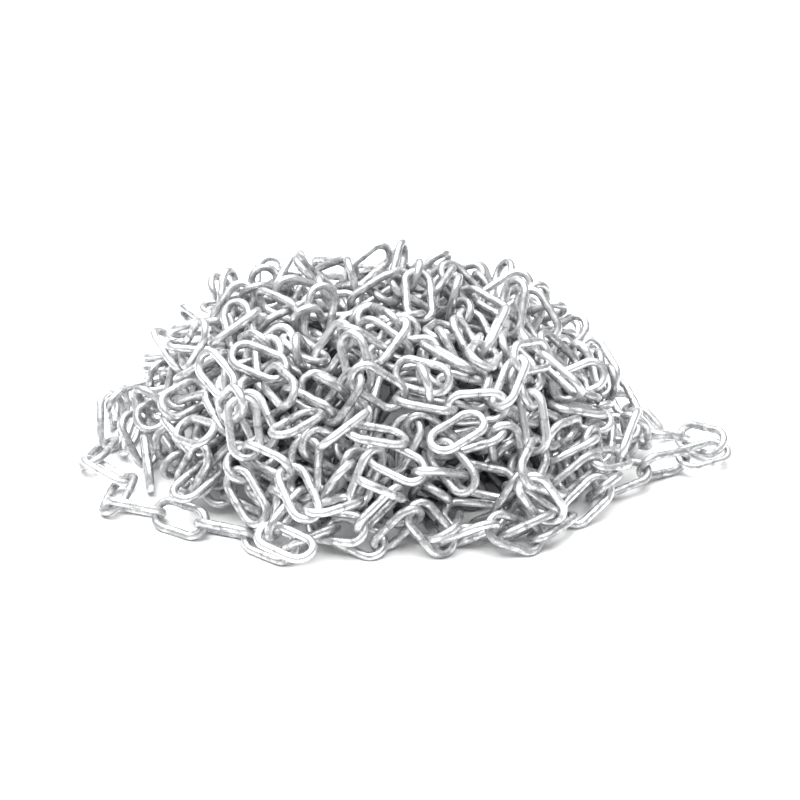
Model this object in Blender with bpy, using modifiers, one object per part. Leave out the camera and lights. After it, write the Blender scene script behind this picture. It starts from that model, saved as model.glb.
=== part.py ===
"""Heap of galvanised steel chain, lying as it was let down on a level floor.

The outer links are laid one by one: each hooks in the link before it and swings down until it
rests on the floor, on the mound of hidden links or on chain that lies there already.
"""
import math
from collections import namedtuple

import bpy
import numpy as np
from mathutils import Matrix

# Chain, in metres
WIRE = 0.004
LINK_INSIDE = 0.025
LINK_WIDTH = 0.018

# Mound of hidden links, in metres, and how square its shoulder and flank are
MOUND_LENGTH = 0.212
MOUND_DEPTH = 0.186
MOUND_HEIGHT = 0.069
SHOULDER = 3.0
FLANK = 0.75
MOUND_STEPS = 40
MOUND_RINGS = 14

# Distances between wire centre lines, as multiples of the wire
TOUCH = 0.85
SLACK = 1.17
APART = 1.075
# Clearances under a link, in metres
FLOOR_CLEARANCE = 0.00005
MOUND_CLEARANCE = 0.0004

# Links fused where they touch share a run, and the last link of a strand stays single
RUN_LINKS = 4

# Flats round a crown, and how round its wire is
CROWN_FACETS = 4
WIRE_ROUNDNESS = 1

# Each strand's number of links and its way from above, in half lengths and half depths of the mound
STRANDS = (
    (26, ((-1.05, 0.82), (-1.32, 0.55), (-1.50, 0.25), (-1.40, -0.25), (-1.12, -0.72),
          (-0.83, -1.00), (-0.58, -1.28), (-0.34, -1.38), (0.0, -1.35), (0.25, -1.28),
          (0.52, -1.34), (0.78, -1.20), (0.93, -0.97), (1.15, -0.72), (1.30, -0.56), (1.46, -0.38),
          (1.56, -0.32))),
    (18, ((1.34, 0.00), (1.24, 0.42), (0.98, 0.84), (0.58, 1.12), (0.15, 1.24), (-0.28, 1.20),
          (-0.68, 1.05), (-1.00, 0.78))),
    (13, ((-0.95, 0.55), (-1.26, 0.34), (-1.33, 0.00), (-1.12, -0.38), (-0.90, -0.68),
          (-0.66, -0.94), (-0.35, -1.10), (0.0, -1.14))),
    (12, ((0.92, 0.55), (1.18, 0.27), (1.30, -0.12), (1.20, -0.50), (0.98, -0.80), (0.74, -1.00),
          (0.42, -1.12), (0.15, -1.10))),
    (14, ((-1.00, -0.60), (-0.60, -0.78), (-0.20, -0.82), (0.30, -0.78), (0.70, -0.86),
          (1.05, -0.45))),
    (15, ((-1.10, 0.30), (-0.60, 0.35), (-0.10, 0.15), (0.40, 0.30), (0.90, 0.10), (1.15, -0.20))),
    (12, ((0.90, -0.70), (0.50, -0.50), (0.0, -0.35), (-0.45, -0.50), (-0.85, -0.30),
          (-1.15, -0.10))),
    (7, ((-0.60, -1.15), (-0.40, -0.50), (-0.55, 0.0), (-0.25, 0.30))),
    (8, ((0.50, -1.15), (0.65, -0.50), (0.45, 0.0), (0.60, 0.45))),
    (12, ((1.05, 0.40), (0.60, 0.65), (0.10, 0.50), (-0.40, 0.65), (-0.90, 0.50))),
    (12, ((0.20, 0.62), (0.27, 0.30), (0.17, -0.10), (0.17, -0.27), (0.05, -0.68), (-0.28, -1.00),
          (-0.50, -1.25))),
    (11, ((-0.95, -0.45), (-0.50, -0.60), (-0.05, -0.58), (0.40, -0.62), (0.80, -0.40))),
    (10, ((0.75, -0.95), (0.35, -0.85), (-0.10, -0.98), (-0.50, -0.85), (-0.85, -0.55))),
)

# Directions tried for each link: off the strand's way, above level and about its own length
TURNS = np.radians(np.arange(-75, 76, 15))
SLOPES = np.radians(np.arange(-80, 61, 10))
ROLLS = np.radians(np.arange(0, 180, 15))
SWING_STEP = math.radians(0.5)
SWING_STEPS = 20

# How square two links cross, how far a joint bends back and how straight it pulls, all at least
LEAST_CROSSING = 0.35
LEAST_BEND = -0.15
LEAST_HOLD = 0.8
# Least distance of two wires near a fused joint, as a share of the joint's own: a crown's flats lie
# nearer than its corners
JOINT_SHARE = 0.91

# What makes a place for a link worse or better than another, in wires
TURN_COST = 3.5
ADVANCE_GAIN = 2.5
CHANCE_COST = 0.5
# How much the height of a link's far end counts beside that of its middle
END_WEIGHT = 0.3

# How far ahead a strand looks for its way, and how much higher each new try to start it lies
LOOK_AHEAD = 0.045
START_LIFT = 0.002
START_LIFTS = 8

# How many places are kept for a link, how unlike they are, and when a strand gives up
CHOICES = 6
START_CHOICES = 36
UNLIKE = 0.94
TRIES_WITHOUT_GAIN = 30
BATCH = 100
BAR_PROBES = 5
SEED = 6

# Fineness of places, in metres, and of directions, in decimals
PLACE_STEP = 0.000001
TURN_DECIMALS = 7
TINY = 1e-9

# Welding distance of the mound's seams, in metres, and the angle from which an edge is sharp
MERGE = 0.00001
SHARP_ANGLE = math.radians(50)

# Worked out
CROWN = (LINK_WIDTH - WIRE) / 2
REACH = (LINK_INSIDE + WIRE) / 2
BAR = REACH - CROWN
HALF_LENGTH = MOUND_LENGTH / 2
HALF_DEPTH = MOUND_DEPTH / 2
STEP = WIRE / 4
NEIGHBOUR = 2 * REACH + 2 * WIRE

Link = namedtuple("Link", "centre along normal fused")


def mound_profile(share):
    """Height of the mound at a share of the way from its middle to its rim."""
    return MOUND_HEIGHT * np.clip(1 - share ** SHOULDER, 0, 1) ** FLANK


# Height of the mound a wire inside its rim, above which chain can hang over the rim
RIM_HEIGHT = float(mound_profile(1 - WIRE / HALF_DEPTH))


def mound_height(x, y):
    return mound_profile(np.hypot(x / HALF_LENGTH, y / HALF_DEPTH))


def mound_gap(points):
    """Distance of points above the mound's surface, square to it, and level beside its rim."""
    x, y, z = points[..., 0], points[..., 1], points[..., 2]
    height = mound_height(x, y)
    slope_x = (mound_height(x + STEP, y) - mound_height(x - STEP, y)) / (2 * STEP)
    slope_y = (mound_height(x, y + STEP) - mound_height(x, y - STEP)) / (2 * STEP)
    gap = (z - height) / np.sqrt(1 + slope_x ** 2 + slope_y ** 2)
    beside = (1 - 1 / np.maximum(np.hypot(x / HALF_LENGTH, y / HALF_DEPTH), 1)) * np.hypot(x, y)
    beside = np.where(z < RIM_HEIGHT, beside, MOUND_LENGTH)
    return np.where(height > 0, gap, beside)


def crown_points(facets):
    """Centre line of the crown at +X, from one straight bar round to the other."""
    angles = np.linspace(-math.pi / 2, math.pi / 2, facets + 1)
    return np.stack([BAR + CROWN * np.cos(angles), CROWN * np.sin(angles)], axis=1)


def link_outline(facets):
    """Closed centre line of a link: two crowns, joined by its straight bars."""
    crown = crown_points(facets)
    return np.concatenate([crown, -crown])


def probe_points():
    """Points along a link's centre line and its facets, where its distance to others is taken."""
    bar = np.linspace(-BAR, BAR, BAR_PROBES + 2)[1:-1]
    bars = np.concatenate([np.stack([bar, np.full_like(bar, side * CROWN)], axis=1) for side in (-1, 1)])
    corners = link_outline(CROWN_FACETS)
    middles = (corners + np.roll(corners, -1, axis=0)) / 2
    plan = np.concatenate([link_outline(3 * CROWN_FACETS), bars, middles])
    return np.concatenate([plan, np.zeros((len(plan), 1))], axis=1)


PROBES = probe_points()


def quarter_chords():
    """The faceted centre line in one quarter of the link, from its bar's middle to its end."""
    quarter = crown_points(CROWN_FACETS)[CROWN_FACETS // 2:]
    chain = np.concatenate([quarter, [[0.0, CROWN]]])
    return list(zip(chain[:-1], chain[1:]))


CHORDS = quarter_chords()


def line_distance(points, link):
    """Distance of points to a link's centre line, round or faceted, whichever is nearer."""
    offset = points - link.centre
    x = np.abs(offset @ link.along)
    y = np.abs(offset @ np.cross(link.normal, link.along))
    z = offset @ link.normal
    plan = np.abs(np.hypot(np.maximum(x - BAR, 0), y) - CROWN)
    for first, second in CHORDS:
        span = second - first
        share = ((x - first[0]) * span[0] + (y - first[1]) * span[1]) / (span @ span)
        share = np.clip(share, 0, 1)
        away = np.hypot(x - first[0] - share * span[0], y - first[1] - share * span[1])
        plan = np.minimum(plan, away)
    return np.hypot(plan, z)


def probes_of(centres, alongs, normals):
    """Probe points of many links, placed in the heap."""
    sides = np.cross(normals, alongs)
    return (centres[:, None, :] + PROBES[None, :, 0:1] * alongs[:, None, :]
            + PROBES[None, :, 1:2] * sides[:, None, :])


def is_free(centres, probes, placed, last, least):
    """Whether each link clears the floor, the mound, the link it hangs in and all other links."""
    free = probes[..., 2].min(axis=1) > WIRE / 2 + FLOOR_CLEARANCE
    free &= (mound_gap(probes) > WIRE / 2 + MOUND_CLEARANCE).all(axis=1)
    for link in placed:
        near = np.flatnonzero(free & (np.linalg.norm(centres - link.centre, axis=1) < NEIGHBOUR))
        if len(near):
            limit = least if link is last else APART * WIRE
            free[near] = line_distance(probes[near], link).min(axis=1) > limit
    return free


def hang(alongs, normals, last, joint):
    """Centres of links that hook in the last link's crown, and whether they can."""
    crossings = np.cross(np.cross(last.normal, last.along), np.cross(normals, alongs))
    sizes = np.linalg.norm(crossings, axis=1)
    pull = crossings / np.maximum(sizes, TINY)[:, None]
    hold = (pull * (last.along + alongs)).sum(axis=1)
    pull = pull * np.where(hold < 0, -1.0, 1.0)[:, None]
    can = (sizes > LEAST_CROSSING) & (np.abs(hold) > LEAST_HOLD) & (pull @ last.along > LEAST_BEND)
    can &= (pull * alongs).sum(axis=1) > LEAST_BEND
    start = last.centre + REACH * last.along - joint * pull
    return start + REACH * alongs, can


def tried_directions(heading):
    """Every tried direction of a link: its length, its normal and its turn off the heading."""
    turn, slope, roll = (grid.ravel() for grid in np.meshgrid(TURNS, SLOPES, ROLLS, indexing="ij"))
    bearing = heading + turn
    level = np.cos(slope)
    alongs = np.stack([level * np.cos(bearing), level * np.sin(bearing), np.sin(slope)], axis=1)
    sides = np.stack([-np.sin(bearing), np.cos(bearing), np.zeros(len(bearing))], axis=1)
    tops = np.cross(alongs, sides)
    normals = np.cos(roll)[:, None] * tops + np.sin(roll)[:, None] * sides
    return alongs, normals, turn, roll


def rounded(centre, along, normal, fused):
    place = np.round(centre / PLACE_STEP) * PLACE_STEP
    return Link(place, np.round(along, TURN_DECIMALS), np.round(normal, TURN_DECIMALS), fused)


def swung_down(along, normal, last, placed, fused):
    """The link turned down about a level axis until its next step would touch something."""
    joint, least = joint_sizes(fused)
    level = np.array([along[0], along[1], 0.0])
    level /= np.linalg.norm(level)
    axis = np.array([-level[1], level[0], 0.0])
    angles = (SWING_STEP * np.arange(SWING_STEPS + 1))[:, None]

    def turned(vector):
        return (vector * np.cos(angles) + np.cross(axis, vector) * np.sin(angles)
                + axis * (axis @ vector) * (1 - np.cos(angles)))

    alongs, normals = turned(along), turned(normal)
    centres, can = hang(alongs, normals, last, joint)
    free = can & is_free(centres, probes_of(centres, alongs, normals), placed, last, least)
    if not free[0]:
        return None
    stop = int(np.argmin(free)) if not free.all() else len(free)
    return rounded(centres[stop - 1], alongs[stop - 1], normals[stop - 1], fused)


def best_free(cost, able, centres, alongs, normals, placed, last, least):
    """The cheapest few links that lie free and differ clearly from one another."""
    order = able[np.argsort(cost[able], kind="stable")]
    middle = centres.mean(axis=0)
    spread = NEIGHBOUR + 2 * REACH
    around = [link for link in placed if np.linalg.norm(link.centre - middle) < spread]
    picked = []
    for first in range(0, len(order), BATCH):
        batch = order[first:first + BATCH]
        probes = probes_of(centres[batch], alongs[batch], normals[batch])
        for one in batch[is_free(centres[batch], probes, around, last, least)]:
            if all(alongs[one] @ alongs[two] < UNLIKE or abs(normals[one] @ normals[two]) < UNLIKE
                   for two in picked):
                picked.append(one)
            if len(picked) == CHOICES:
                return picked
    return picked


def first_links(route, travel, placed, chance):
    """Ways to lay a strand's first link, as low as it can lie where the strand begins."""
    start, ahead = route_point(route, travel), route_point(route, travel + LOOK_AHEAD)
    alongs, normals, turn, roll = tried_directions(math.atan2(*(ahead - start)[::-1]))
    ground = float(mound_height(*start)) + WIRE
    found = []
    for lift in range(START_LIFTS):
        foot = np.array([start[0], start[1], ground + lift * START_LIFT])
        centres = foot + REACH * alongs
        tilt = np.abs(np.abs(np.cos(roll)) - math.cos(math.pi / 4))
        cost = centres[:, 2] + LINK_WIDTH * tilt + TURN_COST * WIRE * np.abs(turn)
        cost = cost + CHANCE_COST * WIRE * chance.random(len(turn))
        every = np.arange(len(turn))
        found += [rounded(centres[i], alongs[i], normals[i], False)
                  for i in best_free(cost, every, centres, alongs, normals, placed, None, 0.0)]
        if len(found) > START_CHOICES:
            break
    return found


def joint_sizes(fused):
    """Distance between two hooked wires at their joint, and the least distance elsewhere."""
    if fused:
        return TOUCH * WIRE, JOINT_SHARE * TOUCH * WIRE
    return SLACK * WIRE, APART * WIRE


def next_links(route, travel, last, placed, chance, fused):
    """Ways to lay the next link: as low as it can hang, along the strand's way."""
    joint, least = joint_sizes(fused)
    end = last.centre + REACH * last.along
    ahead = route_point(route, travel + LOOK_AHEAD) - end[:2]
    alongs, normals, turn, _ = tried_directions(math.atan2(ahead[1], ahead[0]))
    centres, can = hang(alongs, normals, last, joint)
    height = centres[:, 2] + END_WEIGHT * (centres[:, 2] + REACH * alongs[:, 2])
    advance = np.cos(turn) * np.hypot(alongs[:, 0], alongs[:, 1])
    cost = height + WIRE * (TURN_COST * np.abs(turn) - ADVANCE_GAIN * advance)
    cost = cost + CHANCE_COST * WIRE * chance.random(len(turn))
    able = np.flatnonzero(can)
    found = [swung_down(alongs[i], normals[i], last, placed, fused)
             for i in best_free(cost, able, centres, alongs, normals, placed, last, least)]
    return [link for link in found if link is not None]


def route_from(shares):
    """A strand's way on the floor plan, with the distance run at each of its points."""
    points = np.array(shares) * (HALF_LENGTH, HALF_DEPTH)
    run = np.concatenate([[0.0], np.cumsum(np.linalg.norm(np.diff(points, axis=0), axis=1))])
    return run, points


def route_point(route, distance):
    run, points = route
    return np.array([np.interp(distance, run, points[:, 0]), np.interp(distance, run, points[:, 1])])


def travelled(route, travel, link):
    """How far along the way the link's far end has come."""
    end = (link.centre + REACH * link.along)[:2]
    ahead = travel + np.arange(0, 2 * REACH + LINK_WIDTH, STEP)
    ahead = ahead[ahead <= route[0][-1] + WIRE]
    if len(ahead) == 0:
        return travel + WIRE
    away = [np.linalg.norm(route_point(route, distance) - end) for distance in ahead]
    return max(travel + WIRE, ahead[int(np.argmin(away))])


def lay_from(start, route, links, placed, chance):
    """Lays a strand link by link along its way, taking links up again where it can't go on."""
    laid, travel = [], [start]
    menus = [first_links(route, start, placed, chance)]
    longest, tries, limit = 0, 0, TRIES_WITHOUT_GAIN
    while len(laid) < links and tries < limit:
        if not menus[-1]:
            menus.pop()
            if not laid:
                break
            laid.pop()
            placed.pop()
            travel.pop()
            continue
        link = menus[-1].pop(0)
        laid.append(link)
        placed.append(link)
        travel.append(travelled(route, travel[-1], link))
        fused = len(laid) % RUN_LINKS != 0 and len(laid) < links - 1
        menus.append(next_links(route, travel[-1], link, placed, chance, fused))
        tries += 1
        if len(laid) > longest:
            longest = len(laid)
            limit = tries + TRIES_WITHOUT_GAIN
    return laid


def lay_strand(links, shares, placed, chance):
    """Lays a strand, which begins a link further along its way as long as it can't be laid whole."""
    route = route_from(shares)
    laid = []
    for start in np.arange(0, route[0][-1] / 2, LINK_INSIDE):
        del placed[len(placed) - len(laid):]
        laid = lay_from(start, route, links, placed, chance)
        if len(laid) == links:
            break
    return laid


def lay_heap():
    """All strands of the heap, each a list of links."""
    chance = np.random.default_rng(SEED)
    placed = []
    return [lay_strand(links, shares, placed, chance) for links, shares in STRANDS]


def split_in_runs(strand):
    """A strand's links in runs that are fused."""
    runs = []
    for link in strand:
        if link.fused:
            runs[-1].append(link)
        else:
            runs.append([link])
    return runs


def new_material(name, colour, metallic, roughness):
    material = bpy.data.materials.new(name)
    material.use_nodes = True
    shader = material.node_tree.nodes["Principled BSDF"]
    shader.inputs["Base Color"].default_value = (*colour, 1.0)
    shader.inputs["Metallic"].default_value = metallic
    shader.inputs["Roughness"].default_value = roughness
    return material


def new_collection(name):
    collection = bpy.data.collections.new(name)
    bpy.context.scene.collection.children.link(collection)
    return collection


def mesh_of(curve_object, name):
    """Mesh of a curve object, which is removed."""
    bpy.context.view_layer.update()
    evaluated = curve_object.evaluated_get(bpy.context.evaluated_depsgraph_get())
    mesh = bpy.data.meshes.new_from_object(evaluated)
    mesh.name = name
    bpy.data.objects.remove(curve_object)
    return mesh


def make_link_mesh(material):
    """One link: round wire bent to two crowns with straight bars between them."""
    curve = bpy.data.curves.new("link_wire", "CURVE")
    curve.dimensions = "3D"
    curve.bevel_depth = WIRE / 2
    curve.bevel_resolution = WIRE_ROUNDNESS
    spline = curve.splines.new("POLY")
    outline = link_outline(CROWN_FACETS)
    spline.points.add(len(outline) - 1)
    for point, (x, y) in zip(spline.points, outline):
        point.co = (x, y, 0.0, 1.0)
    spline.use_cyclic_u = True
    wire = bpy.data.objects.new("link_wire", curve)
    bpy.context.scene.collection.objects.link(wire)
    mesh = mesh_of(wire, "link")
    mesh.shade_smooth()
    mesh.materials.clear()
    mesh.materials.append(material)
    return mesh


def link_matrix(link, shift):
    side = np.cross(link.normal, link.along)
    matrix = np.identity(4)
    matrix[:3, :] = np.stack([link.along, side, link.normal, link.centre + shift], axis=1)
    return Matrix(matrix.tolist())


def shift_to_origin(links, mesh):
    """Move that puts the middle of the heap's plan on the origin."""
    corners = np.array([vertex.co[:] for vertex in mesh.vertices])
    low, high = np.full(3, np.inf), np.full(3, -np.inf)
    for link in links:
        turn = np.array(link_matrix(link, np.zeros(3)))[:3, :3]
        placed = corners @ turn.T + link.centre
        low = np.minimum(low, placed.min(axis=0))
        high = np.maximum(high, placed.max(axis=0))
    middle = (low + high) / 2
    return np.array([-middle[0], -middle[1], 0.0])


def make_run(name, links, mesh, shift, parts, joined):
    """A run of links as one solid: the first link, with the others joined on where they touch."""
    run = bpy.data.objects.new(name, mesh)
    run.matrix_world = link_matrix(links[0], shift)
    parts.objects.link(run)
    for number, link in enumerate(links[1:], start=2):
        other = bpy.data.objects.new(f"{name}_link_{number}", mesh)
        other.matrix_world = link_matrix(link, shift)
        other.hide_render = True
        other.display_type = "WIRE"
        joined.objects.link(other)
        union = run.modifiers.new(f"join_link_{number}", "BOOLEAN")
        union.operation = "UNION"
        union.object = other
    return run


def make_mound(shift, material, parts):
    """The hidden links as one plain mound with a flat underside: a turned profile, widened to an oval."""
    shares = np.sin(np.linspace(0, math.pi / 2, MOUND_RINGS))
    profile = bpy.data.meshes.new("mound_core")
    points = [(share, 0.0, float(mound_profile(share))) for share in shares]
    points.append((0.0, 0.0, 0.0))
    profile.from_pydata(points, [(i, i + 1) for i in range(len(points) - 1)], [])
    mound = bpy.data.objects.new("mound_core", profile)
    parts.objects.link(mound)
    turn = mound.modifiers.new("turn", "SCREW")
    turn.steps = MOUND_STEPS
    turn.render_steps = MOUND_STEPS
    turn.use_merge_vertices = True
    turn.merge_threshold = MERGE
    bpy.context.view_layer.update()
    mesh = bpy.data.meshes.new_from_object(mound.evaluated_get(bpy.context.evaluated_depsgraph_get()))
    # The facets' middles, not their corners, lie on the oval
    inner = math.cos(math.pi / MOUND_STEPS)
    mesh.transform(Matrix.Diagonal((HALF_LENGTH / inner, HALF_DEPTH / inner, 1.0, 1.0)))
    mound.modifiers.clear()
    mound.data = mesh
    mesh.name = "mound_core"
    mesh.materials.append(material)
    mesh.shade_smooth()
    mesh.set_sharp_from_angle(angle=SHARP_ANGLE)
    mound.location = shift
    bpy.data.meshes.remove(profile)


def main():
    for old in list(bpy.data.objects):
        bpy.data.objects.remove(old)
    parts = new_collection("chain_heap")
    joined = new_collection("joined_links")
    zinc = new_material("galvanised_steel", (0.62, 0.64, 0.65), 0.9, 0.4)
    shade = new_material("hidden_steel", (0.30, 0.31, 0.32), 0.8, 0.6)
    link_mesh = make_link_mesh(zinc)
    heap = lay_heap()
    shift = shift_to_origin([link for strand in heap for link in strand], link_mesh)
    make_mound(shift, shade, parts)
    runs = [run for strand in heap for run in split_in_runs(strand)]
    for number, links in enumerate(runs, start=1):
        name = f"chain_run_{number:02d}" if len(links) > 1 else f"end_link_{number:02d}"
        make_run(name, links, link_mesh, shift, parts, joined)
    bpy.context.view_layer.update()


main()
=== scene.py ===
"""Chain heap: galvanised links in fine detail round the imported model, with floor, light and camera.

The outer links are laid by the rule and with the values of the model's own source, so each run of
links lies where its node is. More links are then laid below and between them, in place of the
model's plain mound.
"""
import math
from collections import namedtuple

import bpy
import numpy as np
from bpy.props import FloatProperty, FloatVectorProperty, IntProperty, PointerProperty
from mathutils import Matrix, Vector


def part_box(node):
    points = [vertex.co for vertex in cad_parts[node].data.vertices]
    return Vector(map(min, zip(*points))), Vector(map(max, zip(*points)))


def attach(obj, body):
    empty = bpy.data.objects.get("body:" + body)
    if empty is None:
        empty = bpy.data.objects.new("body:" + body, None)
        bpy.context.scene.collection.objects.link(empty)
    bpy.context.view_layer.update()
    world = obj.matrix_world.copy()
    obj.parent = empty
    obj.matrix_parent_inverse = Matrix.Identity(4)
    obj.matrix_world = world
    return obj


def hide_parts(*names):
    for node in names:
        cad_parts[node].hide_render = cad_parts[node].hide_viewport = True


bl_info = {
    "name": "Chain heap",
    "version": (1, 0, 0),
    "blender": (4, 5, 0),
    "location": "3D view > Sidebar > Chain heap",
    "description": "Dresses a heap of galvanised chain with finely modelled links",
    "category": "Object",
}

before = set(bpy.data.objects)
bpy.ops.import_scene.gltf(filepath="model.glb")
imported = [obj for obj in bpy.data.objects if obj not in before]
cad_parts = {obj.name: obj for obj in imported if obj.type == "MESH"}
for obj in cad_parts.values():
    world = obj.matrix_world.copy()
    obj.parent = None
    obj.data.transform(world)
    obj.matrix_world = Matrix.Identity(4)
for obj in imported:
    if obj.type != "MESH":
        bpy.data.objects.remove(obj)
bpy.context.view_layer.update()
MOUND_LOW, MOUND_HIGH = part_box("mound_core")
MIDDLE = np.array([(MOUND_LOW.x + MOUND_HIGH.x) / 2, (MOUND_LOW.y + MOUND_HIGH.y) / 2, 0.0])
BODY = "root"

# How square the mound's shoulder and flank are, and the shoulder of the cover over the inner links
SHOULDER = 3.0
COVER_SHOULDER = 4.5
FLANK = 0.75

# Distances between wire centre lines, as multiples of the wire, and clearances in metres
TOUCH = 0.85
FLOOR_CLEARANCE = 0.00005
MOUND_CLEARANCE = 0.0004

# Links that the model fuses share a run, and the last link of a strand stays single
RUN_LINKS = 4
CROWN_FACETS = 4

# Each strand's number of links and its way from above, in half lengths and half depths of the mound
STRANDS = (
    (26, ((-1.05, 0.82), (-1.32, 0.55), (-1.50, 0.25), (-1.40, -0.25), (-1.12, -0.72),
          (-0.83, -1.00), (-0.58, -1.28), (-0.34, -1.38), (0.0, -1.35), (0.25, -1.28),
          (0.52, -1.34), (0.78, -1.20), (0.93, -0.97), (1.15, -0.72), (1.30, -0.56), (1.46, -0.38),
          (1.56, -0.32))),
    (18, ((1.34, 0.00), (1.24, 0.42), (0.98, 0.84), (0.58, 1.12), (0.15, 1.24), (-0.28, 1.20),
          (-0.68, 1.05), (-1.00, 0.78))),
    (13, ((-0.95, 0.55), (-1.26, 0.34), (-1.33, 0.00), (-1.12, -0.38), (-0.90, -0.68),
          (-0.66, -0.94), (-0.35, -1.10), (0.0, -1.14))),
    (12, ((0.92, 0.55), (1.18, 0.27), (1.30, -0.12), (1.20, -0.50), (0.98, -0.80), (0.74, -1.00),
          (0.42, -1.12), (0.15, -1.10))),
    (14, ((-1.00, -0.60), (-0.60, -0.78), (-0.20, -0.82), (0.30, -0.78), (0.70, -0.86),
          (1.05, -0.45))),
    (15, ((-1.10, 0.30), (-0.60, 0.35), (-0.10, 0.15), (0.40, 0.30), (0.90, 0.10), (1.15, -0.20))),
    (12, ((0.90, -0.70), (0.50, -0.50), (0.0, -0.35), (-0.45, -0.50), (-0.85, -0.30),
          (-1.15, -0.10))),
    (7, ((-0.60, -1.15), (-0.40, -0.50), (-0.55, 0.0), (-0.25, 0.30))),
    (8, ((0.50, -1.15), (0.65, -0.50), (0.45, 0.0), (0.60, 0.45))),
    (12, ((1.05, 0.40), (0.60, 0.65), (0.10, 0.50), (-0.40, 0.65), (-0.90, 0.50))),
    (12, ((0.20, 0.62), (0.27, 0.30), (0.17, -0.10), (0.17, -0.27), (0.05, -0.68), (-0.28, -1.00),
          (-0.50, -1.25))),
    (11, ((-0.95, -0.45), (-0.50, -0.60), (-0.05, -0.58), (0.40, -0.62), (0.80, -0.40))),
    (10, ((0.75, -0.95), (0.35, -0.85), (-0.10, -0.98), (-0.50, -0.85), (-0.85, -0.55))),
)

# What links are laid by: directions tried off the strand's way, above level and about their own
# length, distances at a loose joint and apart, in wires, places kept, and how a strand is started
LayRule = namedtuple("LayRule", "turns slopes rolls slack apart choices start_choices lift lifts")
OUTER_RULE = LayRule(
    turns=np.radians(np.arange(-75, 76, 15)), slopes=np.radians(np.arange(-80, 61, 10)),
    rolls=np.radians(np.arange(0, 180, 15)), slack=1.17, apart=1.075, choices=6, start_choices=36,
    lift=0.002, lifts=8)
INNER_RULE = LayRule(
    turns=np.radians(np.arange(-75, 76, 15)), slopes=np.radians(np.arange(-75, 61, 15)),
    rolls=np.radians(np.arange(0, 180, 15)), slack=1.075, apart=1.07, choices=1, start_choices=0,
    lift=0.003, lifts=0)
SWING_STEP = math.radians(0.5)
SWING_STEPS = 20

# How square two links cross, how far a joint bends back and how straight it pulls, all at least
LEAST_CROSSING = 0.35
LEAST_BEND = -0.15
LEAST_HOLD = 0.8
JOINT_SHARE = 0.91

# What makes a place for a link worse or better than another, in wires
TURN_COST = 3.5
ADVANCE_GAIN = 2.5
CHANCE_COST = 0.5
END_WEIGHT = 0.3

# How far ahead a strand looks for its way, how unlike kept places are, and when a strand gives up
LOOK_AHEAD = 0.045
UNLIKE = 0.94
TRIES_WITHOUT_GAIN = 30
BATCH = 100
BAR_PROBES = 5
SEED = 6

# Fineness of places, in metres, and of directions, in decimals
PLACE_STEP = 0.000001
TURN_DECIMALS = 7
TINY = 1e-9

# Depth in the mound from where the painted shade on the zinc is as dark as it gets
DEEP = 0.022

# Inner links: how many directions are tried at each height
DROP_LOT = 60
INNER_SEED = 11

# Fineness of an outer and an inner link: sides of its wire, rings round each crown and along a bar
OUTER_FINENESS = (18, 14, 4)
INNER_FINENESS = (12, 12, 3)
LINK_KINDS = 6
INNER_PIECES = 4

# Weld: places of its rings, in weld lengths, with their share of its height, how far it may sit off
# the bar's middle, in weld lengths, how its height varies, and how much it leans to one side
WELD_RINGS = ((-1.0, 0.0), (-0.6, 0.55), (-0.3, 1.0), (-0.1, 0.85), (0.1, 0.85), (0.3, 1.0),
              (0.6, 0.55), (1.0, 0.0))
WELD_SHIFT = 0.5
WELD_HEIGHTS = (0.7, 1.3)
WELD_LEAN = 0.25

# Turn round a crown over which its seat runs out, as a factor on the angle
SEAT_SPREAD = 1.8

# Zinc: how fine, detailed and rough its patches, flecks and drawn lines are, and how much patches
# and lines are drawn out along the wire
PATCH_NOISE = (420.0, 4.0, 0.6)
FLECK_NOISE = (1700.0, 3.0, 0.65)
LINE_NOISE = (1500.0, 3.0, 0.6)
PATCH_DRAW = (0.55, 1.0, 1.0)
LINE_DRAW = (0.045, 1.0, 1.0)

# How much a link's own tone and the flecks add to the patches, and where patches and lines set in
TONE_SHARE = 0.24
FLECK_SHARE = 0.45
MATT_EDGES = (0.38, 0.66)
LINE_EDGES = (0.56, 0.74)

# Distances from the weld at which its dark line and its burnt zone end, and how uneven they are
SEAM_EDGES = (0.00004, 0.00020)
SEAM_WAVE = 0.0002
BURNT_EDGES = (0.0002, 0.0022)
BURNT_WAVE = 0.0016

# How far lines, painted shade deep in the heap, burnt zone and seam cover the zinc
LINE_COVER = 0.58
PAINTED_SHADE_COVER = 0.9
BURNT_COVER = 0.25
SEAM_COVER = 0.85

# Metal share, and what the lines add to the roughness
METAL = 0.92
LINE_ROUGHNESS = 0.10

# The relief's strength, its depth in wires, and what stands out or is sunk in it, and how much
RELIEF = 0.55
RELIEF_DEPTH = 0.025
PATCH_RELIEF = 0.5
FLECK_RELIEF = 0.35
LINE_RELIEF = -0.5
SEAM_RELIEF = -1.2

# Metres of wire over which the links' zinc is spread, so that no two look alike
WIRE_SPREAD = 3.0

# Stage: the lamp's place beside the heap, and the round floor's corners and roughness
LAMP_PLACE = (-0.2, 0.05)
FLOOR_CORNERS = 128
FLOOR_ROUGHNESS = 0.9

Link = namedtuple("Link", "centre along normal fused")
Ring = namedtuple("Ring", "x y out_x out_y length swell seat")


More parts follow.
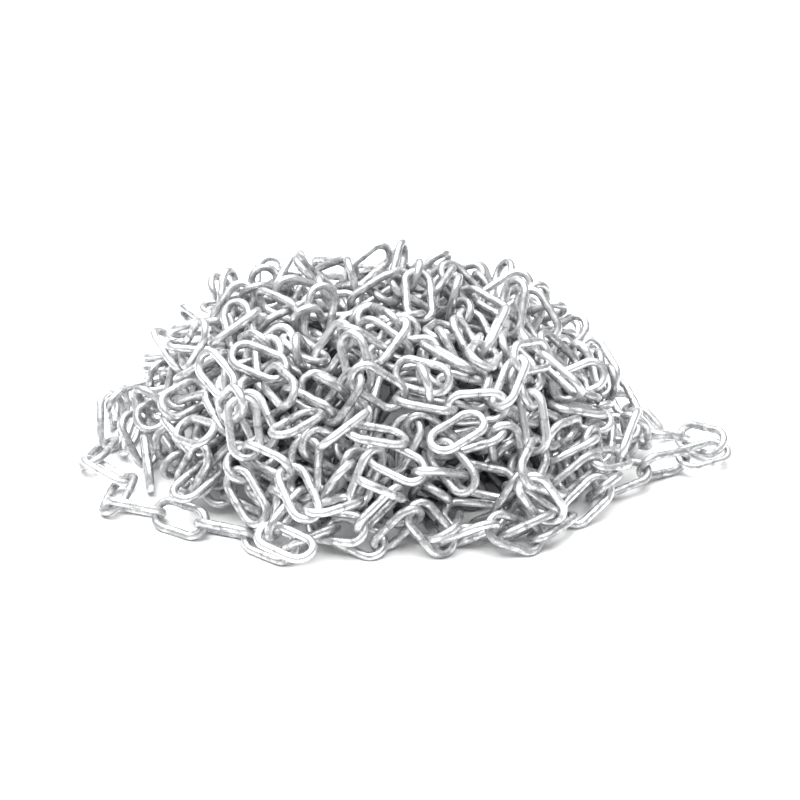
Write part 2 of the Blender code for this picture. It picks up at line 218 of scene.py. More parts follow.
class ChainSizes(bpy.types.PropertyGroup):
    """Sizes of the chain and of the mound that its outer links lie on."""

    wire: FloatProperty(
        name="Wire", description="Diameter of the wire", default=0.004, unit="LENGTH", precision=4)
    coat: FloatProperty(
        name="Zinc coat", description="Thickness of the zinc on the wire",
        default=0.00014, unit="LENGTH", precision=5)
    link_inside: FloatProperty(
        name="Inside length", description="Inside length of a link", default=0.025, unit="LENGTH",
        precision=4)
    link_width: FloatProperty(
        name="Link width", description="Outside width of a link", default=0.018, unit="LENGTH",
        precision=4)
    mound_length: FloatProperty(
        name="Mound length", description="Length of the mound of hidden links", default=0.212,
        unit="LENGTH", precision=4)
    mound_depth: FloatProperty(
        name="Mound depth", description="Depth of the mound of hidden links", default=0.186,
        unit="LENGTH", precision=4)
    mound_height: FloatProperty(
        name="Mound height", description="Height of the mound of hidden links", default=0.069,
        unit="LENGTH", precision=4)
    weld_height: FloatProperty(
        name="Weld height", description="How proud of the wire its weld stands", default=0.00022,
        unit="LENGTH", precision=5)
    weld_length: FloatProperty(
        name="Weld length", description="Half the length of the swelling at a weld",
        default=0.0016, unit="LENGTH", precision=5)
    worn_depth: FloatProperty(
        name="Seat depth", description="Depth of the flat where two links bear on each other",
        default=0.0004, unit="LENGTH", precision=5)


class InnerSizes(bpy.types.PropertyGroup):
    """How many links lie below and between the outer ones, and where."""

    core_share: FloatProperty(
        name="Core", description="Size of the empty core below the inner links, as a share of the "
        "model's mound", default=0.60, subtype="FACTOR", min=0.3, max=1.0)
    cover_share: FloatProperty(
        name="Cover", description="Length and depth of the mound that the inner links' middles "
        "stay within, as a share of the model's mound", default=1.26, subtype="FACTOR", min=1.0,
        max=1.6)
    cover_rise: FloatProperty(
        name="Cover height", description="Height of that mound, as a share of the model's mound",
        default=1.14, subtype="FACTOR", min=1.0, max=1.4)
    cover_shift: FloatProperty(
        name="Cover shift", description="How far that mound's middle lies towards +X",
        default=-0.009, unit="LENGTH", precision=4)
    links: IntProperty(
        name="Inner links", description="Most links below and between the outer ones", default=520)
    starts: IntProperty(
        name="Starts", description="Strands of inner links that are tried", default=680)
    strand_links: IntProperty(
        name="Strand links", description="Most links in a strand of inner links", default=8)


class ZincColours(bpy.types.PropertyGroup):
    """Colours and gloss of the galvanised finish, and the painted shade of links deep in the heap."""

    bright: FloatVectorProperty(
        name="Bright zinc", description="Colour of the smooth bright zinc", subtype="COLOR",
        default=(0.80, 0.806, 0.812), min=0.0, max=1.0)
    dull: FloatVectorProperty(
        name="Dull zinc", description="Colour of the matt grey patches", subtype="COLOR",
        default=(0.35, 0.357, 0.365), min=0.0, max=1.0)
    # Painted shade: the colour that links deep in the heap are darkened towards, in place of the
    # shade between them
    inside: FloatVectorProperty(
        name="Zinc inside", description="Colour of the shaded zinc deep in the heap",
        subtype="COLOR", default=(0.13, 0.132, 0.135), min=0.0, max=1.0)
    weld: FloatVectorProperty(
        name="Weld line", description="Colour of the dark line at a weld", subtype="COLOR",
        default=(0.07, 0.07, 0.072), min=0.0, max=1.0)
    smooth: FloatProperty(
        name="Least roughness", description="Roughness of the bright zinc", default=0.34,
        subtype="FACTOR", min=0.0, max=1.0)
    rough: FloatProperty(
        name="Most roughness", description="Roughness of the matt patches", default=0.52,
        subtype="FACTOR", min=0.0, max=1.0)


class StageSettings(bpy.types.PropertyGroup):
    """Floor, light and camera."""

    floor_colour: FloatVectorProperty(
        name="Floor", description="Colour of the floor", subtype="COLOR",
        default=(0.92, 0.92, 0.92), min=0.0, max=1.0)
    floor_radius: FloatProperty(
        name="Floor radius", description="Radius of the round floor", default=1.2, unit="LENGTH")
    air_light: FloatProperty(
        name="Air light", description="Strength of the light from all round", default=0.42)
    lamp_power: FloatProperty(
        name="Lamp power", description="Power of the wide lamp above", default=88.0, unit="POWER")
    lamp_size: FloatProperty(
        name="Lamp size", description="Side of the wide lamp above", default=2.0, unit="LENGTH")
    lamp_height: FloatProperty(
        name="Lamp height", description="Height of the wide lamp", default=1.5, unit="LENGTH")
    distance: FloatProperty(
        name="Distance", description="From the camera to its target", default=0.955, unit="LENGTH")
    elevation: FloatProperty(
        name="Elevation", description="Angle of the camera above the floor",
        default=math.radians(29.5), subtype="ANGLE")
    lens: FloatProperty(name="Lens", description="Focal length in millimetres", default=79.9)
    target: FloatVectorProperty(
        name="Target", description="What the camera looks at, from the mound's middle",
        subtype="TRANSLATION", default=(0.0040, 0.0, 0.024))


class Chain:
    """A link's sizes and the points along its wire where distances are taken."""

    def __init__(self, sizes, faceted=True):
        self.wire = exact(sizes.wire)
        self.link_inside = exact(sizes.link_inside)
        self.link_width = exact(sizes.link_width)
        self.crown = (self.link_width - self.wire) / 2
        self.reach = (self.link_inside + self.wire) / 2
        self.bar = self.reach - self.crown
        self.step = self.wire / 4
        self.neighbour = 2 * self.reach + 2 * self.wire
        self.probes = self.probe_points()
        self.chords = self.quarter_chords() if faceted else []

    def crown_points(self, facets):
        """Centre line of the crown at +X, from one straight bar round to the other."""
        angles = np.linspace(-math.pi / 2, math.pi / 2, facets + 1)
        return np.stack([self.bar + self.crown * np.cos(angles), self.crown * np.sin(angles)],
                        axis=1)

    def link_outline(self, facets):
        """Closed centre line of a link: two crowns, joined by its straight bars."""
        crown = self.crown_points(facets)
        return np.concatenate([crown, -crown])

    def probe_points(self):
        """Points on a link's centre line and its facets, where its distance to others is taken."""
        bar = np.linspace(-self.bar, self.bar, BAR_PROBES + 2)[1:-1]
        bars = [np.stack([bar, np.full_like(bar, side * self.crown)], axis=1) for side in (-1, 1)]
        corners = self.link_outline(CROWN_FACETS)
        middles = (corners + np.roll(corners, -1, axis=0)) / 2
        plan = np.concatenate([self.link_outline(3 * CROWN_FACETS), *bars, middles])
        return np.concatenate([plan, np.zeros((len(plan), 1))], axis=1)

    def quarter_chords(self):
        """The faceted centre line in one quarter of the link, from its bar's middle to its end."""
        quarter = self.crown_points(CROWN_FACETS)[CROWN_FACETS // 2:]
        chain = np.concatenate([quarter, [[0.0, self.crown]]])
        return list(zip(chain[:-1], chain[1:]))

    def line_distance(self, points, link):
        """Distance of points to a link's centre line, or to its facets where they are nearer."""
        offset = points - link.centre
        x = np.abs(offset @ link.along)
        y = np.abs(offset @ np.cross(link.normal, link.along))
        z = offset @ link.normal
        plan = np.abs(np.hypot(np.maximum(x - self.bar, 0), y) - self.crown)
        for first, second in self.chords:
            span = second - first
            share = ((x - first[0]) * span[0] + (y - first[1]) * span[1]) / (span @ span)
            share = np.clip(share, 0, 1)
            away = np.hypot(x - first[0] - share * span[0], y - first[1] - share * span[1])
            plan = np.minimum(plan, away)
        return np.hypot(plan, z)

    def probes_of(self, centres, alongs, normals):
        """Probe points of many links, placed in the heap."""
        sides = np.cross(normals, alongs)
        return (centres[:, None, :] + self.probes[None, :, 0:1] * alongs[:, None, :]
                + self.probes[None, :, 1:2] * sides[:, None, :])


class Mound:
    """An oval mound with its middle at the origin, at a share of its plan and of its height."""

    def __init__(self, sizes, share=1.0, rise=1.0, shoulder=SHOULDER):
        self.shoulder = shoulder
        self.length = exact(sizes.mound_length) * share
        self.half_length = self.length / 2
        self.half_depth = exact(sizes.mound_depth) * share / 2
        self.top = exact(sizes.mound_height) * rise
        wire = exact(sizes.wire)
        self.step = wire / 4
        # Height of the mound a wire inside its rim, above which chain can hang over the rim
        self.rim_height = float(self.profile(1 - wire / self.half_depth))

    def profile(self, share):
        return self.top * np.clip(1 - share ** self.shoulder, 0, 1) ** FLANK

    def height(self, x, y):
        return self.profile(np.hypot(x / self.half_length, y / self.half_depth))

    def gap(self, points):
        """Distance of points above the mound's surface, square to it, and level beside its rim."""
        x, y, z = points[..., 0], points[..., 1], points[..., 2]
        step = self.step
        height = self.height(x, y)
        slope_x = (self.height(x + step, y) - self.height(x - step, y)) / (2 * step)
        slope_y = (self.height(x, y + step) - self.height(x, y - step)) / (2 * step)
        gap = (z - height) / np.sqrt(1 + slope_x ** 2 + slope_y ** 2)
        out = np.hypot(x / self.half_length, y / self.half_depth)
        beside = (1 - 1 / np.maximum(out, 1)) * np.hypot(x, y)
        beside = np.where(z < self.rim_height, beside, self.length)
        return np.where(height > 0, gap, beside)

    def depth(self, points):
        """How deep points lie in the mound: 0 at its surface, 1 from DEEP on."""
        height = self.height(points[:, 0], points[:, 1])
        return np.clip((height - points[:, 2]) / DEEP, 0, 1)


class Way:
    """A strand's way on the floor plan, in metres."""

    def __init__(self, points):
        self.points = np.asarray(points)
        steps = np.linalg.norm(np.diff(self.points, axis=0), axis=1)
        self.run = np.concatenate([[0.0], np.cumsum(steps)])

    def at(self, distance):
        return np.array([np.interp(distance, self.run, self.points[:, 0]),
                         np.interp(distance, self.run, self.points[:, 1])])


class Layer:
    """Lays links on a mound, on the floor and on one another, each as low as it can lie."""

    def __init__(self, chain, mound, placed, seed, rule):
        self.chain = chain
        self.mound = mound
        self.placed = placed
        self.chance = np.random.default_rng(seed)
        self.rule = rule
        grids = np.meshgrid(rule.turns, rule.slopes, rule.rolls, indexing="ij")
        self.turn, self.slope, self.roll = (grid.ravel() for grid in grids)

    def joint_sizes(self, fused):
        """Distance between two hooked wires at their joint, and the least distance elsewhere."""
        wire = self.chain.wire
        if fused:
            return TOUCH * wire, JOINT_SHARE * TOUCH * wire
        return self.rule.slack * wire, self.rule.apart * wire

    def around(self, centres):
        """The placed links that are near enough to touch a link at one of these centres."""
        middle = centres.mean(axis=0)
        spread = self.chain.neighbour + np.linalg.norm(centres - middle, axis=1).max()
        return [link for link in self.placed if math.dist(link.centre, middle) < spread]

    def is_free(self, centres, probes, placed, last, least):
        """Whether each link clears the floor, the mound, the link it hangs in and all others."""
        wire = self.chain.wire
        free = probes[..., 2].min(axis=1) > wire / 2 + FLOOR_CLEARANCE
        free &= (self.mound.gap(probes) > wire / 2 + MOUND_CLEARANCE).all(axis=1)
        for link in placed:
            apart = np.linalg.norm(centres - link.centre, axis=1)
            near = np.flatnonzero(free & (apart < self.chain.neighbour))
            if len(near):
                limit = least if link is last else self.rule.apart * wire
                free[near] = self.chain.line_distance(probes[near], link).min(axis=1) > limit
        return free

    def hang(self, alongs, normals, last, joint):
        """Centres of links that hook in the last link's crown, and whether they can."""
        crossings = np.cross(np.cross(last.normal, last.along), np.cross(normals, alongs))
        sizes = np.linalg.norm(crossings, axis=1)
        pull = crossings / np.maximum(sizes, TINY)[:, None]
        hold = (pull * (last.along + alongs)).sum(axis=1)
        pull = pull * np.where(hold < 0, -1.0, 1.0)[:, None]
        can = (sizes > LEAST_CROSSING) & (np.abs(hold) > LEAST_HOLD)
        can &= (pull @ last.along > LEAST_BEND) & ((pull * alongs).sum(axis=1) > LEAST_BEND)
        start = last.centre + self.chain.reach * last.along - joint * pull
        return start + self.chain.reach * alongs, can

    def tried_directions(self, heading):
        """Every tried direction of a link: its length and its normal."""
        bearing = heading + self.turn
        level = np.cos(self.slope)
        alongs = np.stack([level * np.cos(bearing), level * np.sin(bearing), np.sin(self.slope)],
                          axis=1)
        sides = np.stack([-np.sin(bearing), np.cos(bearing), np.zeros(len(bearing))], axis=1)
        tops = np.cross(alongs, sides)
        normals = np.cos(self.roll)[:, None] * tops + np.sin(self.roll)[:, None] * sides
        return alongs, normals

    def swung_down(self, along, normal, last, fused):
        """The link turned down about a level axis until its next step would touch something."""
        joint, least = self.joint_sizes(fused)
        level = np.array([along[0], along[1], 0.0])
        level /= np.linalg.norm(level)
        axis = np.array([-level[1], level[0], 0.0])
        angles = (SWING_STEP * np.arange(SWING_STEPS + 1))[:, None]

        def turned(vector):
            return (vector * np.cos(angles) + np.cross(axis, vector) * np.sin(angles)
                    + axis * (axis @ vector) * (1 - np.cos(angles)))

        alongs, normals = turned(along), turned(normal)
        centres, can = self.hang(alongs, normals, last, joint)
        probes = self.chain.probes_of(centres, alongs, normals)
        free = can & self.is_free(centres, probes, self.around(centres), last, least)
        if not free[0]:
            return None
        stop = int(np.argmin(free)) if not free.all() else len(free)
        return rounded(centres[stop - 1], alongs[stop - 1], normals[stop - 1], fused)

    def best_free(self, cost, able, centres, alongs, normals, last, least):
        """The cheapest few links that lie free and differ clearly from one another."""
        order = able[np.argsort(cost[able], kind="stable")]
        around = self.around(centres)
        picked = []
        for first in range(0, len(order), BATCH):
            batch = order[first:first + BATCH]
            probes = self.chain.probes_of(centres[batch], alongs[batch], normals[batch])
            for one in batch[self.is_free(centres[batch], probes, around, last, least)]:
                if all(alongs[one] @ alongs[two] < UNLIKE
                       or abs(normals[one] @ normals[two]) < UNLIKE for two in picked):
                    picked.append(one)
                if len(picked) == self.rule.choices:
                    return picked
        return picked

    def first_links(self, way, travel):
        """Ways to lay a strand's first link, as low as it can lie where the strand begins."""
        start, ahead = way.at(travel), way.at(travel + LOOK_AHEAD)
        alongs, normals = self.tried_directions(math.atan2(*(ahead - start)[::-1]))
        wire = self.chain.wire
        ground = float(self.mound.height(*start)) + wire
        found = []
        for lift in range(self.rule.lifts):
            foot = np.array([start[0], start[1], ground + lift * self.rule.lift])
            centres = foot + self.chain.reach * alongs
            tilt = np.abs(np.abs(np.cos(self.roll)) - math.cos(math.pi / 4))
            cost = centres[:, 2] + self.chain.link_width * tilt
            cost = cost + TURN_COST * wire * np.abs(self.turn)
            cost = cost + CHANCE_COST * wire * self.chance.random(len(self.turn))
            every = np.arange(len(self.turn))
            found += [rounded(centres[i], alongs[i], normals[i], False)
                      for i in self.best_free(cost, every, centres, alongs, normals, None, 0.0)]
            if len(found) > self.rule.start_choices:
                break
        return found

    def next_links(self, way, travel, last, fused):
        """Ways to lay the next link: as low as it can hang, along the strand's way."""
        chain = self.chain
        joint, least = self.joint_sizes(fused)
        end = last.centre + chain.reach * last.along
        ahead = way.at(travel + LOOK_AHEAD) - end[:2]
        alongs, normals = self.tried_directions(math.atan2(ahead[1], ahead[0]))
        centres, can = self.hang(alongs, normals, last, joint)
        height = centres[:, 2] + END_WEIGHT * (centres[:, 2] + chain.reach * alongs[:, 2])
        advance = np.cos(self.turn) * np.hypot(alongs[:, 0], alongs[:, 1])
        cost = height + chain.wire * (TURN_COST * np.abs(self.turn) - ADVANCE_GAIN * advance)
        cost = cost + CHANCE_COST * chain.wire * self.chance.random(len(self.turn))
        able = np.flatnonzero(can)
        found = [self.swung_down(alongs[i], normals[i], last, fused)
                 for i in self.best_free(cost, able, centres, alongs, normals, last, least)]
        return [link for link in found if link is not None]

    def travelled(self, way, travel, link):
        """How far along the way the link's far end has come."""
        chain = self.chain
        end = (link.centre + chain.reach * link.along)[:2]
        ahead = travel + np.arange(0, 2 * chain.reach + chain.link_width, chain.step)
        ahead = ahead[ahead <= way.run[-1] + chain.wire]
        if len(ahead) == 0:
            return travel + chain.wire
        away = [np.linalg.norm(way.at(distance) - end) for distance in ahead]
        return max(travel + chain.wire, ahead[int(np.argmin(away))])

    def lay_from(self, start, way, links):
        """Lays a strand link by link along its way, taking links up again where it can't go on."""
        laid, travel = [], [start]
        menus = [self.first_links(way, start)]
        longest, tries, limit = 0, 0, TRIES_WITHOUT_GAIN
        while len(laid) < links and tries < limit:
            if not menus[-1]:
                menus.pop()
                if not laid:
                    break
                laid.pop()
                self.placed.pop()
                travel.pop()
                continue
            link = menus[-1].pop(0)
            laid.append(link)
            self.placed.append(link)
            travel.append(self.travelled(way, travel[-1], link))
            fused = len(laid) % RUN_LINKS != 0 and len(laid) < links - 1
            menus.append(self.next_links(way, travel[-1], link, fused))
            tries += 1
            if len(laid) > longest:
                longest = len(laid)
                limit = tries + TRIES_WITHOUT_GAIN
        return laid

    def lay_strand(self, links, shares):
        """Lays a strand, which begins a link further along its way as long as it isn't whole."""
        way = Way(np.array(shares) * (self.mound.half_length, self.mound.half_depth))
        laid = []
        for start in np.arange(0, way.run[-1] / 2, self.chain.link_inside):
            del self.placed[len(self.placed) - len(laid):]
            laid = self.lay_from(start, way, links)
            if len(laid) == links:
                break
        return laid

    def dropped(self, place, ceiling):
        """A link with its middle over a place, in the lowest gap where one of a chance lot fits."""
        alongs, normals = self.tried_directions(self.chance.uniform(0, 2 * math.pi))
        lot = self.chance.permutation(len(alongs))[:DROP_LOT]
        alongs, normals = alongs[lot], normals[lot]
        ground = float(self.mound.height(*place)) + self.chain.wire
        for height in np.arange(ground, ceiling(place), self.rule.lift):
            centres = np.tile([place[0], place[1], height], (len(lot), 1))
            probes = self.chain.probes_of(centres, alongs, normals)
            free = np.flatnonzero(self.is_free(centres, probes, self.around(centres), None, 0.0))
            if len(free):
                one = free[0]
                return rounded(centres[one], alongs[one], normals[one], False)
        return None

    def lay_inner(self, place, links, ceiling):
        """Lays a strand from a place, as far as it finds room under a ceiling."""
        laid = []
        link = self.dropped(place, ceiling)
        while link and link.centre[2] < ceiling(link.centre[:2]):
            laid.append(link)
            self.placed.append(link)
            if len(laid) == links:
                break
            ahead = link.centre[:2] + link.along[:2] * 2 * LOOK_AHEAD
            menu = self.next_links(Way([link.centre[:2], ahead]), LOOK_AHEAD / 2, link, False)
            link = menu[0] if menu else None
        return laid


def exact(value):
    """A property's value without the error of its 32 bits."""
    return round(value, 7)


def rounded(centre, along, normal, fused):
    place = np.round(centre / PLACE_STEP) * PLACE_STEP
    return Link(place, np.round(along, TURN_DECIMALS), np.round(normal, TURN_DECIMALS), fused)


def lay_outer(sizes):
    """The model's strands, each a list of links."""
    layer = Layer(Chain(sizes), Mound(sizes), [], SEED, OUTER_RULE)
    return [layer.lay_strand(links, shares) for links, shares in STRANDS]


def lay_below(sizes, inner, placed):
    """Strands of links that fill the heap below and between the outer ones."""
    chain = Chain(sizes, faceted=False)
    core = Mound(sizes, inner.core_share, inner.core_share)
    cover = Mound(sizes, inner.cover_share, inner.cover_rise, COVER_SHOULDER)
    layer = Layer(chain, core, placed, INNER_SEED, INNER_RULE)
    middle = np.array([inner.cover_shift, 0.0])

    def ceiling(place):
        return float(cover.height(*(place - middle)))

    laid, count = [], 0
    for _ in range(inner.starts):
        out = math.sqrt(layer.chance.random())
        angle = layer.chance.uniform(0, 2 * math.pi)
        place = np.array([cover.half_length * math.cos(angle), cover.half_depth * math.sin(angle)])
        links = min(inner.strand_links, inner.links - count)
        laid.append(layer.lay_inner(middle + place * out, links, ceiling))
        count += len(laid[-1])
        if count == inner.links:
            break
    return [strand for strand in laid if strand]


def split_in_runs(strand):
    """A strand's links in runs that the model fuses."""
    runs = []
    for link in strand:
        if link.fused:
            runs[-1].append(link)
        else:
            runs.append([link])
    return runs


class LinkShape:
    """Fine shape of one kind of link, with each point's place along and across its wire."""

    def __init__(self, sizes, sides, crown_rings, bar_rings, chance):
        chain = Chain(sizes)
        half_round = 2 * chain.bar + math.pi * chain.crown
        shift = chance.uniform(-WELD_SHIFT, WELD_SHIFT) * sizes.weld_length
        weld_height = sizes.weld_height * chance.uniform(*WELD_HEIGHTS)
        weld = [Ring(shift + share * sizes.weld_length, chain.crown, 0.0, 1.0,
                     shift + share * sizes.weld_length, height * weld_height, 0.0)
                for share, height in WELD_RINGS]
        middle = len(weld) // 2
        # From the middle of the welded bar, round one crown, the other bar and the other crown
        rings = [*weld[middle:], *crown_round(chain, crown_rings, 1, chain.bar)]
        for share in np.linspace(0, 1, bar_rings + 2)[1:-1]:
            rings.append(Ring(chain.bar * (1 - 2 * share), -chain.crown, 0.0, -1.0,
                              half_round - chain.bar * (1 - 2 * share), 0.0, 0.0))
        rings += crown_round(chain, crown_rings, -1, chain.bar + half_round)
        rings += [ring._replace(length=2 * half_round + ring.length) for ring in weld[:middle]]
        x, y, out_x, out_y, lengths, swell, seat = np.array(rings).T[:, :, None]
        around = 2 * math.pi * np.arange(sides) / sides
        lean = chance.uniform(0, 2 * math.pi)
        proud = chain.wire / 2 + sizes.coat
        proud = proud + swell * (1 - WELD_LEAN + WELD_LEAN * np.cos(around - lean))
        across = np.maximum(np.cos(around) * proud, seat * sizes.worn_depth - proud)
        rise = np.sin(around) * proud
        along = np.broadcast_to(lengths, across.shape)
        self.points = np.stack([x + out_x * across, y + out_y * across, rise], axis=-1)
        self.points = self.points.reshape(-1, 3)
        self.wire_places = np.stack([along, across, rise], axis=-1).reshape(-1, 3)
        from_weld = (along - shift + half_round) % (2 * half_round) - half_round
        self.weld_places = from_weld.reshape(-1)
        ring, side = np.meshgrid(np.arange(len(rings)), np.arange(sides), indexing="ij")
        next_ring, next_side = (ring + 1) % len(rings), (side + 1) % sides
        self.faces = np.stack([ring * sides + side, ring * sides + next_side,
                               next_ring * sides + next_side, next_ring * sides + side],
                              axis=-1).reshape(-1, 4)


def crown_round(chain, count, end, start):
    """Rings round the crown at one end of a link, which begins at a length along the wire."""
    rings = []
    for turn in np.linspace(0, math.pi, count + 1):
        angle = end * (math.pi / 2 - turn)
        out_x, out_y = end * math.cos(angle), math.sin(angle)
        seat = max(0.0, math.cos(SEAT_SPREAD * angle))
        rings.append(Ring(end * chain.bar + chain.crown * out_x, chain.crown * out_y, out_x, out_y,
                          start + turn * chain.crown, 0.0, seat))
    return rings


def add_links(name, links, shapes, mound, chance, material):
    """One mesh of many links, with what the material needs to know at each point."""
    points, faces, wire_places = [], [], []
    values = {"from_weld": [], "depth": [], "tone": []}
    count = 0
    for link in links:
        shape = shapes[int(chance.integers(len(shapes)))]
        flip, turn = chance.choice([-1.0, 1.0], 2)
        along, normal = flip * link.along, turn * link.normal
        side = np.cross(normal, along)
        places = shape.points @ np.stack([along, side, normal]) + link.centre
        points.append(places + MIDDLE)
        faces.append(shape.faces + count)
        wire_places.append(shape.wire_places + (chance.uniform(0, WIRE_SPREAD), 0.0, 0.0))
        values["from_weld"].append(shape.weld_places)
        # How deep each point lies in the mound, which sets the painted shade of the links deep in the
        # heap
        values["depth"].append(mound.depth(places))
        values["tone"].append(np.full(len(places), chance.random()))
        count += len(places)
    mesh = bpy.data.meshes.new(name)
    mesh.from_pydata(np.concatenate(points).tolist(), [], np.concatenate(faces).tolist())
    place = mesh.attributes.new("wire_place", "FLOAT_VECTOR", "POINT")
    place.data.foreach_set("vector", np.concatenate(wire_places).astype(np.float32).ravel())
    for label, parts in values.items():
        attribute = mesh.attributes.new(label, "FLOAT", "POINT")
        attribute.data.foreach_set("value", np.concatenate(parts).astype(np.float32))
    mesh.shade_smooth()
    mesh.materials.append(material)
    piece = bpy.data.objects.new(name, mesh)
    bpy.context.scene.collection.objects.link(piece)
    return piece


class Socket:
    """A node's output, or a number, that Python's operators join with Math nodes."""

    def __init__(self, graph, link):
        self.graph = graph
        self.link = link

    def math(self, operation, *others):
        inputs = dict(enumerate((self, *others)))
        return self.graph.node("ShaderNodeMath", {"operation": operation}, inputs)

    def __add__(self, other):
        return self.math("ADD", other)

    __radd__ = __add__

    def __sub__(self, other):
        return self.math("SUBTRACT", other)

    def __rsub__(self, other):
        return (self * -1) + other

    def __mul__(self, other):
        return self.math("MULTIPLY", other)

    __rmul__ = __mul__

    def __abs__(self):
        return self.math("ABSOLUTE")

    def ramp(self, low, high):
        """0 up to low, 1 from high on, and smooth between."""
        return self.graph.node("ShaderNodeMapRange", {"interpolation_type": "SMOOTHSTEP"},
                               {"Value": self, "From Min": low, "From Max": high})


class Graph:
    """The nodes of a material or of the world."""

    def __init__(self, owner, shader):
        owner.use_nodes = True
        self.tree = owner.node_tree
        self.shader = self.tree.nodes[shader]

    def put(self, socket, value):
        """Links an output to a socket, or sets the socket to a constant."""
        if isinstance(value, Socket):
            self.tree.links.new(value.link, socket)
        else:
            socket.default_value = value

    def node(self, kind, settings, inputs, output=0):
        """Adds a node: its type, its settings, then the values or links of its sockets."""
        node = self.tree.nodes.new(kind)
        for name, value in settings.items():
            setattr(node, name, value)
        for name, value in inputs.items():
            self.put(node.inputs[name], value)
        return Socket(self, node.outputs[output])

    def attribute(self, name, output="Fac"):
        return self.node("ShaderNodeAttribute", {"attribute_name": name}, {}, output)

    def stretched(self, vector, factors):
        return self.node("ShaderNodeVectorMath", {"operation": "MULTIPLY"}, {0: vector, 1: factors})

    def noise(self, vector, scale, detail, roughness):
        return self.node("ShaderNodeTexNoise", {}, {"Vector": vector, "Scale": scale,
                                                    "Detail": detail, "Roughness": roughness})

    def mix(self, factor, first, second):
        return self.node("ShaderNodeMix", {"data_type": "RGBA"},
                         {"Factor": factor, 6: first, 7: second}, 2)


def opaque(colour):
    return (*colour, 1.0)


def zinc_material(name, colours, sizes):
    """Hot-dip zinc on drawn wire: matt patches, fine lines along it, a dark weld line, painted shade
    deep in the heap.
    """
    material = bpy.data.materials.new(name)
    graph = Graph(material, "Principled BSDF")
    place = graph.attribute("wire_place", "Vector")
    tone = graph.attribute("tone")
    weld = abs(graph.attribute("from_weld"))
    patches = graph.noise(graph.stretched(place, PATCH_DRAW), *PATCH_NOISE)
    flecks = graph.noise(place, *FLECK_NOISE)
    lines = graph.noise(graph.stretched(place, LINE_DRAW), *LINE_NOISE)
    matt = (patches + (tone - 0.5) * TONE_SHARE + (flecks - 0.5) * FLECK_SHARE).ramp(*MATT_EDGES)
    scored = lines.ramp(*LINE_EDGES)
    zinc = graph.mix(matt, opaque(colours.bright), opaque(colours.dull))
    zinc = graph.mix(scored * LINE_COVER, zinc, opaque(colours.weld))
    # Painted shade: the deeper a point lies in the mound, the more its zinc turns to the painted
    # shade colour
    zinc = graph.mix(graph.attribute("depth") * PAINTED_SHADE_COVER, zinc, opaque(colours.inside))
    seam = 1 - (weld + (flecks - 0.5) * SEAM_WAVE).ramp(*SEAM_EDGES)
    burnt = 1 - (weld + (patches - 0.5) * BURNT_WAVE).ramp(*BURNT_EDGES)
    zinc = graph.mix(burnt * BURNT_COVER, zinc, opaque(colours.weld))
    zinc = graph.mix(seam * SEAM_COVER, zinc, opaque(colours.weld))
    graph.put(graph.shader.inputs["Base Color"], zinc)
    graph.put(graph.shader.inputs["Metallic"], METAL)
    rough = matt * (colours.rough - colours.smooth) + colours.smooth + scored * LINE_ROUGHNESS
    graph.put(graph.shader.inputs["Roughness"], rough)
    relief = (patches * PATCH_RELIEF + flecks * FLECK_RELIEF + scored * LINE_RELIEF
              + seam * SEAM_RELIEF)
    bump = graph.node("ShaderNodeBump", {}, {"Strength": RELIEF, "Height": relief,
                                             "Distance": sizes.wire * RELIEF_DEPTH})
    graph.put(graph.shader.inputs["Normal"], bump)
    return material


def plain_material(name, colour, roughness):
    material = bpy.data.materials.new(name)
    graph = Graph(material, "Principled BSDF")
    graph.put(graph.shader.inputs["Base Color"], opaque(colour))
    graph.put(graph.shader.inputs["Roughness"], roughness)
    return material


class HEAP_OT_outer_links(bpy.types.Operator):
    """Adds the outer links, one piece for each run of links in the model"""

    bl_idname = "chain_heap.outer_links"
    bl_label = "Outer links"

    def execute(self, context):
        sizes, colours = context.scene.chain_sizes, context.scene.chain_zinc
        chance = np.random.default_rng(SEED)
        material = zinc_material("galvanised_zinc", colours, sizes)
        shapes = [LinkShape(sizes, *OUTER_FINENESS, chance) for _ in range(LINK_KINDS)]
        mound = Mound(sizes)
        strands = lay_outer(sizes)
        laid_links[:] = [link for strand in strands for link in strand]
        runs = [run for strand in strands for run in split_in_runs(strand)]
        for number, links in enumerate(runs, start=1):
            kind = "chain_run" if len(links) > 1 else "end_link"
            node = f"{kind}_{number:02d}"
            piece = add_links(f"fine_{node}", links, shapes, mound, chance, material)
            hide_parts(node)
            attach(piece, BODY)
        return {"FINISHED"}


class HEAP_OT_inner_links(bpy.types.Operator):
    """Adds the links below and between the outer ones, in place of the model's mound"""

    bl_idname = "chain_heap.inner_links"
    bl_label = "Inner links"

    def execute(self, context):
        scene = context.scene
        sizes, inner = scene.chain_sizes, scene.chain_inner
        if not laid_links:
            raise RuntimeError("the outer links come first")
        chance = np.random.default_rng(INNER_SEED)
        material = bpy.data.materials["galvanised_zinc"]
        shapes = [LinkShape(sizes, *INNER_FINENESS, chance) for _ in range(LINK_KINDS)]
        mound = Mound(sizes)
        strands = lay_below(sizes, inner, list(laid_links))
        for part in range(INNER_PIECES):
            links = [link for strand in strands[part::INNER_PIECES] for link in strand]
            piece = add_links(f"inner_links_{part + 1}", links, shapes, mound, chance, material)
            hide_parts("mound_core")
            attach(piece, BODY)
        return {"FINISHED"}


class HEAP_OT_stage(bpy.types.Operator):
    """Adds the floor, the lights and the camera"""

    bl_idname = "chain_heap.stage"
    bl_label = "Stage"

    def execute(self, context):
        scene = context.scene
        stage = scene.chain_stage
        bpy.ops.mesh.primitive_circle_add(vertices=FLOOR_CORNERS, radius=stage.floor_radius,
                                          fill_type="NGON")
        floor = context.object
        floor.name = "floor"
        floor.data.materials.append(plain_material("pale_floor", stage.floor_colour,
                                                   FLOOR_ROUGHNESS))
        scene.world = air_world(stage.air_light)
        add_lamp(scene, stage)
        scene.camera = add_camera(scene, stage)
        scene.view_settings.view_transform = "Standard"
        return {"FINISHED"}


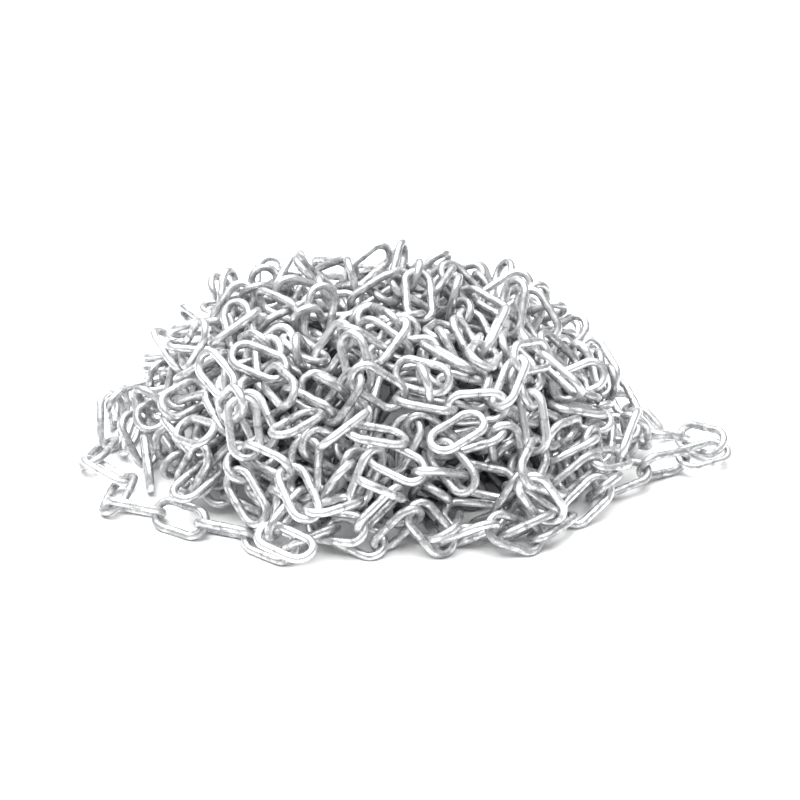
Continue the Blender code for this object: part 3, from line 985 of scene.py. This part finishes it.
def air_world(strength):
    """Air that is white behind the heap and dimmer where it lights the chain."""
    world = bpy.data.worlds.new("air")
    graph = Graph(world, "Background")
    seen = graph.node("ShaderNodeLightPath", {}, {}, "Is Camera Ray")
    graph.put(graph.shader.inputs["Color"], (1.0, 1.0, 1.0, 1.0))
    graph.put(graph.shader.inputs["Strength"], seen * (1 - strength) + strength)
    return world


def add_lamp(scene, stage):
    lamp = bpy.data.lights.new("wide_lamp", "AREA")
    lamp.size = stage.lamp_size
    lamp.energy = stage.lamp_power
    piece = bpy.data.objects.new("wide_lamp", lamp)
    piece.location = (*LAMP_PLACE, stage.lamp_height)
    aim(piece, Vector((0.0, 0.0, 0.0)))
    scene.collection.objects.link(piece)


def add_camera(scene, stage):
    camera = bpy.data.cameras.new("camera")
    camera.lens = stage.lens
    camera.clip_start = stage.distance / 20
    piece = bpy.data.objects.new("camera", camera)
    target = Vector(stage.target) + Vector(MIDDLE)
    back = Vector((0.0, -math.cos(stage.elevation), math.sin(stage.elevation)))
    piece.location = target + back * stage.distance
    aim(piece, target)
    scene.collection.objects.link(piece)
    return piece


def aim(thing, target):
    """Turns a lamp or a camera to look at a point."""
    thing.rotation_euler = (target - thing.location).to_track_quat("-Z", "Y").to_euler()


class HEAP_PT_panel(bpy.types.Panel):
    """Lists the heap's sizes and its steps."""

    bl_idname = "HEAP_PT_panel"
    bl_label = "Chain heap"
    bl_space_type = "VIEW_3D"
    bl_region_type = "UI"
    bl_category = "Chain heap"

    def draw(self, context):
        scene = context.scene
        for group in (scene.chain_sizes, scene.chain_inner, scene.chain_zinc, scene.chain_stage):
            box = self.layout.box()
            for name in group.__annotations__:
                box.prop(group, name)
        for step in STEPS:
            self.layout.operator(step.bl_idname)


# The outer links, once they are laid, for the step that lays the inner ones
laid_links = []

GROUPS = {"chain_sizes": ChainSizes, "chain_inner": InnerSizes, "chain_zinc": ZincColours,
          "chain_stage": StageSettings}
STEPS = (HEAP_OT_outer_links, HEAP_OT_inner_links, HEAP_OT_stage)
CLASSES = (*GROUPS.values(), *STEPS, HEAP_PT_panel)


def register():
    for one in CLASSES:
        bpy.utils.register_class(one)
    for name, group in GROUPS.items():
        setattr(bpy.types.Scene, name, PointerProperty(type=group))


def unregister():
    for name in GROUPS:
        delattr(bpy.types.Scene, name)
    for one in reversed(CLASSES):
        bpy.utils.unregister_class(one)


def main():
    register()
    bpy.ops.chain_heap.outer_links()
    bpy.ops.chain_heap.inner_links()
    bpy.ops.chain_heap.stage()


if __name__ == "__main__":
    main()
